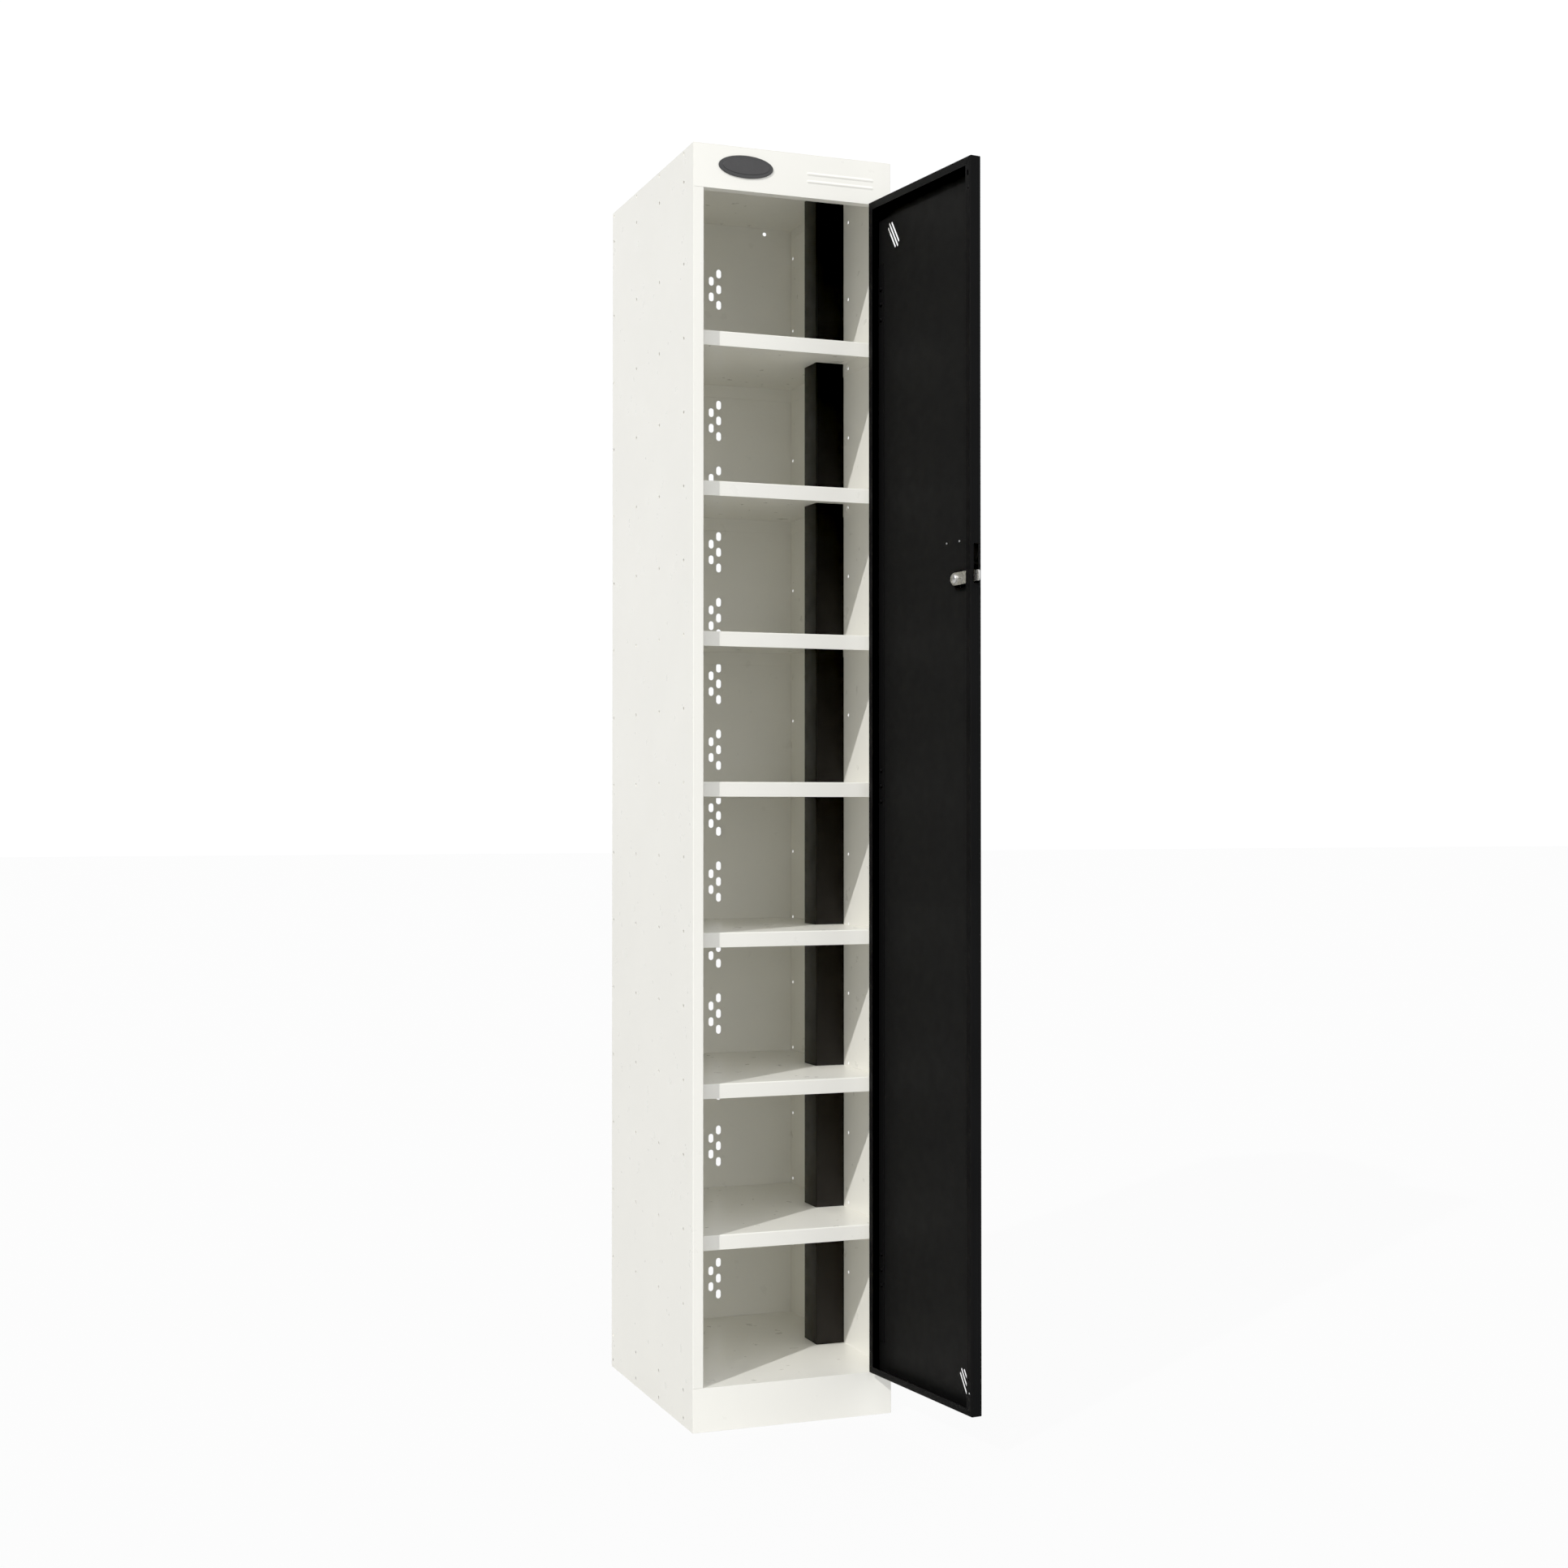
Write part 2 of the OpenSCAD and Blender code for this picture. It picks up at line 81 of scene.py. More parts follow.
def box(node, place=FIXED):
    """Lowest and highest corner of a CAD node, as drawn before place moves it."""
    back = place.inverted()
    points = [back @ v.co for v in frame["nodes"][node].data.vertices]
    low = Vector(map(min, *points))
    high = Vector(map(max, *points))
    return low, high


# ---------------------------------------------------------------- outlines, in two dimensions


def left_of(way):
    return Vector((-way.y, way.x))


def strip(corners, thickness=SHEET, radius=BEND, steps=4):
    """Closed outline of a sheet whose middle line is folded at the inner corners."""
    points = [Vector(c) for c in corners]
    ways = [(b - a).normalized() for a, b in zip(points, points[1:])]
    middle = [(points[0], ways[0])]
    for corner, way, way_out in zip(points[1:-1], ways, ways[1:]):
        turn = math.atan2(way.x * way_out.y - way.y * way_out.x, way.dot(way_out))
        start = corner - way * radius * math.tan(abs(turn) / 2)
        centre = start + left_of(way) * math.copysign(radius, turn)
        for k in range(steps + 1):
            spin = Matrix.Rotation(turn * k / steps, 2)
            middle.append((centre + spin @ (start - centre), spin @ way))
    middle.append((points[-1], ways[-1]))
    left = [p + left_of(way) * thickness / 2 for p, way in middle]
    right = [p - left_of(way) * thickness / 2 for p, way in middle]
    return left + right[::-1]


def ellipse(a, b, centre=(0, 0), count=72):
    turns = [2 * math.pi * k / count for k in range(count)]
    return [Vector((centre[0] + a * math.cos(t), centre[1] + b * math.sin(t))) for t in turns]


def circle(r, centre=(0, 0), count=48):
    return ellipse(r, r, centre, count)


def rounded(width, height, r, centre=(0, 0), steps=8, angle=0):
    """Rectangle with round corners."""
    spin = Matrix.Rotation(angle, 2)
    points = []
    for quarter, (sx, sy) in enumerate([(1, 1), (-1, 1), (-1, -1), (1, -1)]):
        corner = Vector((sx * (width / 2 - r), sy * (height / 2 - r)))
        for k in range(steps + 1):
            t = math.pi / 2 * (quarter + k / steps)
            points.append(Vector(centre) + spin @ (corner + r * Vector((math.cos(t), math.sin(t)))))
    return points


def obround(length, width, centre=(0, 0), angle=0):
    """Slot shape. The radius is a hair under half the width, so that no two points coincide."""
    return rounded(length, width, width * 0.4999, centre, angle=angle)


# ---------------------------------------------------------------- solids

ALONG = {
    "X": lambda a, b, t: Vector((t, a, b)),
    "Y": lambda a, b, t: Vector((a, t, b)),
    "Z": lambda a, b, t: Vector((a, b, t)),
}


def stack(rings, closed=False):
    """Solid skinned over rings of equal length, capped at both ends or closed on itself."""
    solid = bmesh.new()
    rows = [[solid.verts.new(p) for p in ring] for ring in rings]
    pairs = list(zip(rows, rows[1:]))
    if closed:
        pairs.append((rows[-1], rows[0]))
    for a, b in pairs:
        for i in range(len(a)):
            j = (i + 1) % len(a)
            solid.faces.new((a[i], a[j], b[j], b[i]))
    if not closed:
        solid.faces.new(rows[0])
        solid.faces.new(rows[-1])
    bmesh.ops.recalc_face_normals(solid, faces=solid.faces)
    return solid


def bar(outline, axis, start, end):
    """Straight bar. Outlines are drawn in Y, Z along X, in X, Z along Y and in X, Y along Z."""
    return stack([[ALONG[axis](*p, t) for p in outline] for t in (start, end)])


def slab(shape, start, end, round_start, round_end, steps=4):
    """Plate along Y whose rims are rounded. shape(d) is its outline drawn in by d."""
    sign = math.copysign(1, end - start)
    levels = []
    for k in range(steps + 1):
        t = math.pi / 2 * k / steps
        levels.append((round_start * (1 - math.sin(t)), start + sign * round_start * (1 - math.cos(t))))
    for k in range(steps + 1):
        t = math.pi / 2 * k / steps
        levels.append((round_end * (1 - math.cos(t)), end - sign * round_end * (1 - math.sin(t))))
    return stack([[ALONG["Y"](*p, y) for p in shape(d)] for d, y in levels])


def turned(profile, centre, closed=False, count=48):
    """Solid turned about an axis along Y. profile lists radius and Y."""
    rings = [[ALONG["Y"](*p, y) for p in circle(r, centre, count)] for r, y in profile]
    return stack(rings, closed)


def pan(x0, x1, z0, z1, depth, lips, place, radius=BEND):
    """Tray folded from one sheet: a face, flanges all round and, where lips has widths, lips."""
    half = SHEET / 2

    def outline(lip):
        corners = [(6 * MM, half), (half, half)]
        if lip is None:
            return strip([*corners, (half, depth)], radius=radius)
        return strip([*corners, (half, depth - half), (lip, depth - half)], radius=radius)

    rings = []
    for left, right, bottom, top in zip(*map(outline, lips)):
        xs, zs = (x0 + left.x, x1 - right.x), (z0 + bottom.x, z1 - top.x)
        corners = [(xs[0], zs[0]), (xs[1], zs[0]), (xs[1], zs[1]), (xs[0], zs[1])]
        rings.append([place(x, z, left.y) for x, z in corners])
    return stack(rings)


def block(low, high):
    """Box between its lowest and its highest corner."""
    outline = [(low[0], low[1]), (high[0], low[1]), (high[0], high[1]), (low[0], high[1])]
    return bar(outline, "Z", low[2], high[2])


def joined(solids):
    """One bmesh holding all of them, as separate solids."""
    whole = bmesh.new()
    for solid in solids:
        mesh = bpy.data.meshes.new("part")
        solid.to_mesh(mesh)
        whole.from_mesh(mesh)
        bpy.data.meshes.remove(mesh)
    return whole


def as_object(solid, name="scratch"):
    mesh = bpy.data.meshes.new(name)
    solid.to_mesh(mesh)
    thing = bpy.data.objects.new(name, mesh)
    bpy.context.scene.collection.objects.link(thing)
    return thing


def baked(thing):
    """The object's shape after its modifiers. The object's own mesh is removed."""
    shaped = thing.evaluated_get(bpy.context.evaluated_depsgraph_get())
    result = bmesh.new()
    result.from_mesh(shaped.data)
    bpy.data.meshes.remove(thing.data)
    return result


def boolean(solid, tools, operation="DIFFERENCE"):
    """The solid with the tools cut away, or with INTERSECT the part of it inside them."""
    target, tool = as_object(solid), as_object(joined(tools))
    modifier = target.modifiers.new("boolean", "BOOLEAN")
    modifier.operation = operation
    modifier.solver = "EXACT"
    modifier.object = tool
    result = baked(target)
    bpy.data.meshes.remove(tool.data)
    return result


# ---------------------------------------------------------------- materials


class Nodes:
    """A new material with a Principled shader, and short calls that add nodes to it."""

    def __init__(self, name, roughness, **constants):
        self.material = bpy.data.materials.new(name)
        self.material.use_nodes = True
        self.tree = self.material.node_tree
        self.shader = self.tree.nodes["Principled BSDF"]
        self.shader.inputs["Roughness"].default_value = roughness
        for socket, value in constants.items():
            self.shader.inputs[socket.replace("_", " ")].default_value = value
        self.bump = None

    def add(self, kind, links=None, **values):
        node = self.tree.nodes.new("ShaderNode" + kind)
        for socket, value in values.items():
            node.inputs[socket.replace("_", " ")].default_value = value
        for socket, source in (links or {}).items():
            self.tree.links.new(source, node.inputs[socket])
        return node

    def link(self, source, socket):
        self.tree.links.new(source, self.shader.inputs[socket])

    def place(self, stretch=(1, 1, 1)):
        where = self.add("TexCoord").outputs["Object"]
        return self.add("Mapping", {"Vector": where}, Scale=stretch).outputs["Vector"]

    def noise(self, scale, detail=2.0, stretch=(1, 1, 1), rough=0.5):
        links = {"Vector": self.place(stretch)}
        node = self.add("TexNoise", links, Scale=scale, Detail=detail, Roughness=rough)
        return node.outputs["Fac"]

    def cells(self, scale, feature="F1"):
        node = self.add("TexVoronoi", {"Vector": self.place()}, Scale=scale)
        node.feature = feature
        return node.outputs["Distance"] if feature != "F1" else node.outputs["Color"]

    def ramp(self, source, dark, light, start=0.3, end=0.7):
        node = self.add("ValToRGB", {"Fac": source})
        for element, position, colour in zip(node.color_ramp.elements, (start, end), (dark, light)):
            element.position = position
            element.color = (*colour, 1)
        return node.outputs["Color"]

    def spread(self, source, low, high):
        node = self.add("MapRange", {"Value": source}, From_Min=0.3, From_Max=0.7, To_Min=low, To_Max=high)
        return node.outputs["Result"]

    def relief(self, height, depth):
        """Bump of that depth in metres, on top of any relief added before."""
        links = {"Height": height}
        if self.bump:
            links["Normal"] = self.bump
        self.bump = self.add("Bump", links, Strength=1.0, Distance=depth).outputs["Normal"]
        self.link(self.bump, "Normal")


def shade(colour, factor):
    return tuple(c * factor for c in colour)


def powder_coat(name, colour, roughness, mottle=0.03, peel=0.012 * MM, gloss=0.5, painted_light=None):
    """Baked powder paint: orange peel, a finer grain, faint mottling and uneven gloss.

    The last argument paints light: a colour, an axis, and where along that axis the coat is plain and
    where it fully takes that lighter colour.
    """
    n = Nodes(name, roughness, IOR=1.5, Specular_IOR_Level=gloss)
    coat = n.ramp(n.noise(7, 3), shade(colour, 1 - mottle), shade(colour, 1 + mottle))
    # painted light: the coat is mixed toward a lighter colour along one axis, standing in for light the
    # surface catches
    if painted_light:
        painted_colour, axis, unpainted_at, painted_at = painted_light
        where = n.add("SeparateXYZ", {"Vector": n.place()}).outputs[axis]
        amount = n.add("MapRange", {"Value": where}, From_Min=unpainted_at, From_Max=painted_at)
        links = {"Fac": amount.outputs["Result"], "Color1": coat}
        coat = n.add("MixRGB", links, Color2=(*painted_colour, 1)).outputs["Color"]
    n.link(coat, "Base Color")
    n.link(n.spread(n.noise(45, 4), roughness - 0.05, roughness + 0.06), "Roughness")
    n.relief(n.noise(420, 2), peel)
    n.relief(n.noise(1900, 1), peel / 3)
    return n.material


def plated(name, colour, roughness, spangle=0.0, scale=160):
    """Plated steel: crystal spangle in the colour, fine pitting and rubbed patches."""
    n = Nodes(name, roughness, Metallic=1.0)
    dark, light = shade(colour, 1 - spangle - 0.04), shade(colour, 1 + spangle)
    n.link(n.ramp(n.cells(scale), dark, light, 0.2, 0.8), "Base Color")
    n.link(n.spread(n.noise(260, 4), roughness - 0.06, roughness + 0.08), "Roughness")
    n.relief(n.noise(900, 3), 0.01 * MM)
    return n.material


def brushed(name, colour, roughness, stretch):
    """Metal brushed along the axis whose stretch is small."""
    n = Nodes(name, roughness, Metallic=1.0)
    lines = n.noise(1, 4, stretch, 0.7)
    n.link(n.ramp(lines, shade(colour, 0.88), shade(colour, 1.05)), "Base Color")
    n.link(n.spread(lines, roughness - 0.08, roughness + 0.1), "Roughness")
    n.relief(lines, 0.012 * MM)
    return n.material


def moulded(name, colour, roughness, grain):
    """Moulded plastic with a fine leathery grain."""
    n = Nodes(name, roughness, IOR=1.46)
    n.link(n.ramp(n.noise(60, 3), shade(colour, 0.93), shade(colour, 1.07)), "Base Color")
    n.link(n.spread(n.noise(300, 3), roughness - 0.04, roughness + 0.06), "Roughness")
    n.relief(n.cells(1400, "SMOOTH_F1"), grain)
    return n.material


OFF_WHITE = (0.90, 0.888, 0.824)
DOOR_BLACK = (0.0063, 0.0063, 0.0064)
DOOR_PAINTED_SHEEN = ((0.0086, 0.0086, 0.0086), "Y", 2.5 * MM, 1.2 * MM)  # painted sheen: the flat of the pan lighter than its lips and folds
DUCT_BLACK = (0.0040, 0.0039, 0.0038)
DUCT_PAINTED_REFLECTION = ((0.0190, 0.0172, 0.0160), "Z", 1.5, 0.1)  # painted reflection: lighter toward the floor, standing in for the floor and lit shelves it reflects
MATERIALS = {
    "body_paint": powder_coat("Body_powder_coat", OFF_WHITE, 0.32, 0.012),
    "door_paint": powder_coat("Door_powder_coat", DOOR_BLACK, 0.50, 0.08, gloss=0.03, painted_light=DOOR_PAINTED_SHEEN),
    "duct_paint": powder_coat("Duct_powder_coat", DUCT_BLACK, 0.34, 0.15, gloss=0.08, painted_light=DUCT_PAINTED_REFLECTION),
    "zinc_steel": plated("Zinc_plate", (0.60, 0.61, 0.62), 0.36, 0.10),
    "nickel": plated("Satin_nickel", (0.70, 0.69, 0.67), 0.28, 0.02, 420),
    "plate_aluminium": brushed("Brushed_aluminium", (0.74, 0.74, 0.75), 0.34, (40, 2500, 2500)),
    "badge_plastic": moulded("Badge_plastic", (0.025, 0.025, 0.026), 0.42, 0.02 * MM),
    "badge_inlay_plastic": moulded("Badge_inlay_plastic", (0.031, 0.030, 0.031), 0.50, 0.03 * MM),
}


# ---------------------------------------------------------------- pieces


def soften(thing, width, segments=2):
    """Round the object's sharp edges with a bevel."""
    bevel = thing.modifiers.new("edges", "BEVEL")
    bevel.width = width
    bevel.segments = segments
    bevel.limit_method = "ANGLE"
    bevel.angle_limit = math.radians(40)
    bevel.use_clamp_overlap = True
    bevel.harden_normals = True


def softened(solid, width=EDGE):
    """The solid with its cut edges rounded, for cutting holes in afterwards."""
    thing = as_object(solid)
    soften(thing, width)
    return baked(thing)


def perforated(solid, tools):
    """A folded sheet with rounded edges and holes cut through it."""
    return boolean(softened(solid), tools)


def piece(name, solid, body, slot, nodes, place=FIXED, edge=EDGE, segments=2):
    """A finished piece that rides on body, takes the slot's finish and stands for CAD nodes."""
    thing = as_object(solid, name)
    thing.data.materials.append(MATERIALS[slot])
    for face in thing.data.polygons:
        face.use_smooth = True
    thing.data.set_sharp_from_angle(angle=math.radians(40))
    if edge:
        soften(thing, edge, segments)
    else:
        thing.modifiers.new("flats", "WEIGHTED_NORMAL").keep_sharp = True
    thing.matrix_world = place
    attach(thing, body)
    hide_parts(*nodes)


def finish_node(name, slot, edge=EDGE):
    """A CAD node whose shape is right: better material, and edges rounded unless edge is 0."""
    thing = frame["nodes"][name]
    thing.data.materials.clear()
    thing.data.materials.append(MATERIALS[slot])
    if edge:
        weld = thing.modifiers.new("weld", "WELD")
        weld.merge_threshold = 0.002 * MM
        soften(thing, edge)


# ---------------------------------------------------------------- cabinet body

STOP = 5 * MM  # width of the stop flange behind the door
CAM_SLOT_LOW_Y, CAM_SLOT_HIGH_Y = 4.5 * MM, 11.9 * MM
CAM_SLOT_BELOW, CAM_SLOT_ABOVE = 9.8 * MM, 43.5 * MM  # reach below and above the lock's axis
CUT = 3 * MM  # how far a cutter reaches past the sheet it cuts
SKIN = 0.15 * MM  # gap kept between a folded part and the wall it is welded to
SEAM = 0.25 * MM  # gap at each end of an upright

HALF = box("top_panel")[1].x
WALL = HALF - SHEET
PLINTH_TOP = box("plinth")[1].z
DOOR_TOP = box("header_fascia")[0].z
HEADER_TOP = box("header_fascia")[1].z


def cam_slot(x):
    """Cutter for the slot that the cam swings through, across the wall at x."""
    cam_low, cam_high = box("lock_cam", OPEN)
    axis_z = (cam_low.z + cam_high.z) / 2
    wide, tall = CAM_SLOT_HIGH_Y - CAM_SLOT_LOW_Y, CAM_SLOT_BELOW + CAM_SLOT_ABOVE
    centre = (CAM_SLOT_LOW_Y + wide / 2, axis_z - CAM_SLOT_BELOW + tall / 2)
    return bar(rounded(wide, tall, 1 * MM, centre, 4), "X", x - CUT, x + CUT)


def upright(side, name):
    """Front post: face, return beside the door, stop flange, and a leg against the side wall."""
    low, high = box(name)
    return_x = HALF - 15 * MM
    stop_end = return_x + 0.5 * MM - STOP
    stop_y = 18.5 * MM
    front = [(HALF - SHEET / 2, SHEET), (HALF - SHEET / 2, SHEET / 2), (return_x, SHEET / 2)]
    path = [(side * x, y) for x, y in [*front, (return_x, stop_y), (stop_end, stop_y)]]
    folded = softened(bar(strip(path, radius=SHEET / 2), "Z", low.z + SEAM, high.z - SEAM))
    leg_x = [side * (WALL - SKIN), side * (WALL - SHEET)]
    leg = block((min(leg_x), 1.2 * MM, low.z), (max(leg_x), high.y, high.z))
    if side < 0:
        folded = boolean(folded, [cam_slot(-return_x)])
    piece(name + "_fold", joined([folded, leg]), "cabinet", "body_paint", [name], edge=0)


def cross_fold(low_z, high_z):
    """Front sheet of the header or the kick plate, wrapped round both front corners."""
    outer = HALF - SHEET / 2
    path = [(-outer, SHEET), (-outer, SHEET / 2), (outer, SHEET / 2), (outer, SHEET)]
    return bar(strip(path, radius=SHEET / 2), "Z", low_z, high_z)


def plinth():
    """Kick plate with a fold under the base pan and a foot flange."""
    half = SHEET / 2
    fold_path = [(SHEET, PLINTH_TOP - 1.5 * SHEET), (20 * MM, PLINTH_TOP - 1.5 * SHEET)]
    foot_path = [(SHEET, half), (25 * MM, half)]
    solids = [cross_fold(0, PLINTH_TOP)]
    for path in (fold_path, foot_path):
        solids.append(bar(strip(path), "X", -WALL + 2 * MM, WALL - 2 * MM))
    piece("plinth_fold", joined(solids), "cabinet", "body_paint", ["plinth"])


RIB_LOW, RIB_HIGH = 19.5 * MM, 123.7 * MM
RIB_LEVELS = [1761 * MM, 1772 * MM]
RIB_WIDE, RIB_PROUD = 6 * MM, 0.8 * MM
RIB_ROOT = 0.4 * MM  # how far a rib reaches into the sheet
RIB_STEPS = 8
HEADER_FOLD_Y, HEADER_FOLD_HIGH = 16.5 * MM, 13 * MM


def rib(z):
    """Pressed rib on the header: an obround that swells smoothly from the sheet."""
    centre = ((RIB_LOW + RIB_HIGH) / 2, z)
    rings = []
    for k in range(RIB_STEPS + 1):
        t = math.pi / 2 * k / RIB_STEPS
        inset = RIB_WIDE / 2 * 0.96 * math.sin(t)
        y = 0.02 * MM - RIB_PROUD * (1 - math.cos(math.pi * math.sin(t))) / 2
        outline = obround(RIB_HIGH - RIB_LOW - 2 * inset, RIB_WIDE - 2 * inset, centre)
        rings.append([ALONG["Y"](*p, y) for p in outline])
    root = [p + Vector((0, RIB_ROOT, 0)) for p in rings[0]]
    return stack([root, *rings])


def header():
    """Header above the door: front sheet, door stop below it, flange under the lid, two ribs."""
    half = SHEET / 2
    depth = box("header_fascia")[1].y
    under = [(SHEET, DOOR_TOP + half), (HEADER_FOLD_Y, DOOR_TOP + half)]
    under.append((HEADER_FOLD_Y, DOOR_TOP + HEADER_FOLD_HIGH))
    over = [(SHEET, HEADER_TOP - half), (depth, HEADER_TOP - half)]
    solids = [cross_fold(DOOR_TOP, HEADER_TOP)]
    solids.append(bar(strip(under), "X", -WALL + SKIN, WALL - SKIN))
    solids.append(bar(strip(over), "X", -WALL + 2 * MM, WALL - 2 * MM))
    solids += [rib(z) for z in RIB_LEVELS]
    piece("header_fold", joined(solids), "cabinet", "body_paint", ["header_fascia"])


DUCT_GAP = 0.6 * MM
FOLD_HOLE_COLUMNS = [43 * MM, 158 * MM, 272.5 * MM]
FOLD_HOLE_DROP = 10.5 * MM  # below the top of the shelf
FOLD_HOLE_R = 4.5 * MM


def shelf(name):
    """Tray folded down on four sides, with a notch round the duct and holes in the side folds."""
    low, high = box(name)
    duct_low, duct_high = box("duct_cover")
    drop = high.z - low.z
    wall = WALL - SKIN

    def place(x, y, depth):
        return Vector((x, y, high.z - depth))

    tray = pan(-wall, wall, low.y, high.y, drop, [None] * 4, place)
    notch_low = Vector((duct_low.x - DUCT_GAP, duct_low.y - DUCT_GAP, low.z - drop))
    notch_high = Vector((HALF, duct_high.y + DUCT_GAP, high.z + drop))
    tools = [block(notch_low, notch_high)]
    for y in FOLD_HOLE_COLUMNS:
        tools.append(bar(circle(FOLD_HOLE_R, (y, high.z - FOLD_HOLE_DROP), 32), "X", -HALF, HALF))
    piece(name + "_tray", perforated(tray, tools), "cabinet", "body_paint", [name], edge=0)


def duct_cover():
    """Channel folded from one sheet, open toward the wall."""
    low, high = box("duct_cover")
    half = SHEET / 2
    path = [(high.x, low.y + half), (low.x + half, low.y + half)]
    path += [(low.x + half, high.y - half), (high.x, high.y - half)]
    cover = bar(strip(path), "Z", low.z, high.z)
    piece("duct_cover_fold", cover, "cabinet", "duct_paint", ["duct_cover"])


def badge():
    """Oval badge: a plate with a raised plain inlay."""
    for name, slot, rim in (
        ("badge_plate", "badge_plastic", 0.7 * MM),
        ("badge_inlay", "badge_inlay_plastic", 0.45 * MM),
    ):
        low, high = box(name)
        centre = ((low.x + high.x) / 2, (low.z + high.z) / 2)
        a, b = (high.x - low.x) / 2, (high.z - low.z) / 2

        def shape(d, a=a, b=b, centre=centre):
            return ellipse(a - d, b - d, centre, 96)

        moulding = slab(shape, high.y, low.y, 0.05 * MM, rim)
        piece(name + "_moulding", moulding, "cabinet", slot, [name], edge=0)


for part in ("side_panel_left", "side_panel_right", "back_panel", "base_pan"):
    finish_node(part, "body_paint", edge=0)
finish_node("top_panel", "body_paint")
finish_node("duct_channel", "zinc_steel")
upright(-1, "upright_left")
upright(1, "upright_right")
plinth()
header()
for number in range(1, 8):
    shelf(f"shelf_{number}")
duct_cover()
badge()

# ---------------------------------------------------------------- hinges

LEAF = 2 * MM  # thickness of a hinge leaf
STIFFENER = 0.8 * MM  # thickness of the stiffener behind the hinges
FRAME_RIVET_X, FRAME_RIVET_DZ = 143.5 * MM, (-18 * MM, 18 * MM)
DOOR_RIVET_X, DOOR_RIVET_DZ = 123.5 * MM, (-22 * MM, 0, 22 * MM)
HINGE_RIVET = {
    "proud": 1.2 * MM,
    "head_r": 3 * MM,
    "shank_r": 1.9 * MM,
    "tail_r": 2.7 * MM,
    "tail_long": 2 * MM,
}
PLATE_RIVET_DX = 16 * MM
PLATE_RIVET = {
    "proud": 0.7 * MM,
    "head_r": 2 * MM,
    "shank_r": 1 * MM,
    "tail_r": 1.3 * MM,
    "tail_long": 1.2 * MM,
}


def arcs(full, steps, trim=0.0):
    """Evenly spaced angles from 0 to full less trim."""
    return [(full - trim) * k / steps for k in range(steps + 1)]


def rivet(x, z, head_y, tail_y, *, proud, head_r, shank_r, tail_r, tail_long):
    """Blind rivet along Y: domed head in front, shank and upset tail behind."""
    dome = [(head_r * math.cos(t), head_y - proud * math.sin(t)) for t in arcs(math.pi / 2, 6, 0.12)]
    front = [(0.08 * head_r, head_y - proud), *reversed(dome), (head_r, head_y)]
    back = [(shank_r, head_y), (shank_r, tail_y), (tail_r, tail_y)]
    tail_end = tail_y + tail_long
    end = [(tail_r, tail_y + tail_long * 0.6), (tail_r * 0.7, tail_end), (tail_r * 0.3, tail_end)]
    return turned([*front, *back, *end], (x, z), count=32)


def hinge_rivets(leaf, place, x, steps, grip):
    """Rivets through the bottom, middle and top leaf of that kind."""
    solids = []
    for level in ("bottom", "middle", "top"):
        low, high = box(f"hinge_{level}_{leaf}_leaf", place)
        for dz in steps:
            solids.append(rivet(x, (low.z + high.z) / 2 + dz, -LEAF, grip, **HINGE_RIVET))
    return joined(solids)


def frame_rivets():
    rivets = hinge_rivets("frame", FIXED, FRAME_RIVET_X, FRAME_RIVET_DZ, SHEET)
    nodes = ["hinge_frame_rivets"]
    piece("hinge_frame_rivet_set", rivets, "cabinet", "body_paint", nodes, edge=0)


def door_rivets():
    rivets = hinge_rivets("door", OPEN, DOOR_RIVET_X, DOOR_RIVET_DZ, SHEET + STIFFENER)
    nodes = ["hinge_door_rivets"]
    piece("hinge_door_rivet_set", rivets, "door", "door_paint", nodes, OPEN, edge=0)


def hinge_pin(name):
    """Headed pin: the upper half's profile, mirrored for the lower half."""
    low, high = box(name)
    centre = ((low.x + high.x) / 2, (low.y + high.y) / 2)
    head_r = (high.x - low.x) / 2
    pin_r = head_r - 1.3 * MM
    head = 1.5 * MM
    half = [(0.2 * MM, high.z), (head_r * 0.55, high.z - 0.05 * MM), (head_r * 0.85, high.z - 0.35 * MM)]
    half += [(head_r, high.z - 0.9 * MM), (head_r, high.z - head), (pin_r, high.z - head)]
    middle = low.z + high.z
    profile = half + [(r, middle - z) for r, z in reversed(half)]
    rings = [[ALONG["Z"](*p, z) for p in circle(r, centre, 32)] for r, z in profile]
    piece(name + "_turned", stack(rings), "cabinet", "zinc_steel", [name], edge=0)


for level in ("bottom", "middle", "top"):
    finish_node(f"hinge_{level}_frame_leaf", "body_paint", 0.25 * MM)
    finish_node(f"hinge_{level}_door_leaf", "door_paint", 0.25 * MM)
    hinge_pin(f"hinge_{level}_pin")
frame_rivets()
door_rivets()

# ---------------------------------------------------------------- door

SLIT_WIDTH = 3.6 * MM
SLIT_PITCH = 5.7 * MM
SLIT_LENGTHS = [38 * MM, 45 * MM, 38 * MM]
SLIT_ANGLE = math.radians(57.7)
SLIT_CENTRES = [(90.8 * MM, 1683.6 * MM), (-96 * MM, 97.3 * MM)]
LIP_LATCH, LIP_HINGE, LIP_BOTTOM, LIP_TOP = 12 * MM, 11 * MM, 10 * MM, 12 * MM
LIP_HOLES_IN = 5.8 * MM  # from the latch edge to the holes in its lip
LIP_HOLE_LEVELS = [1692.8 * MM, 112.5 * MM, 94.4 * MM]
LIP_HOLE_R = 1.5 * MM
LIP_SLOT_LEVEL = 1714 * MM
LIP_SLOT = (8 * MM, 3 * MM)
MITRE_LONG, MITRE_WIDE, MITRE_MIDDLE = 16 * MM, 0.4 * MM, 10 * MM
LOCK_HOLE_R = 8.2 * MM


def lock_centre():
    low, high = box("lock_body", OPEN)
    return ((low.x + high.x) / 2, (low.z + high.z) / 2)


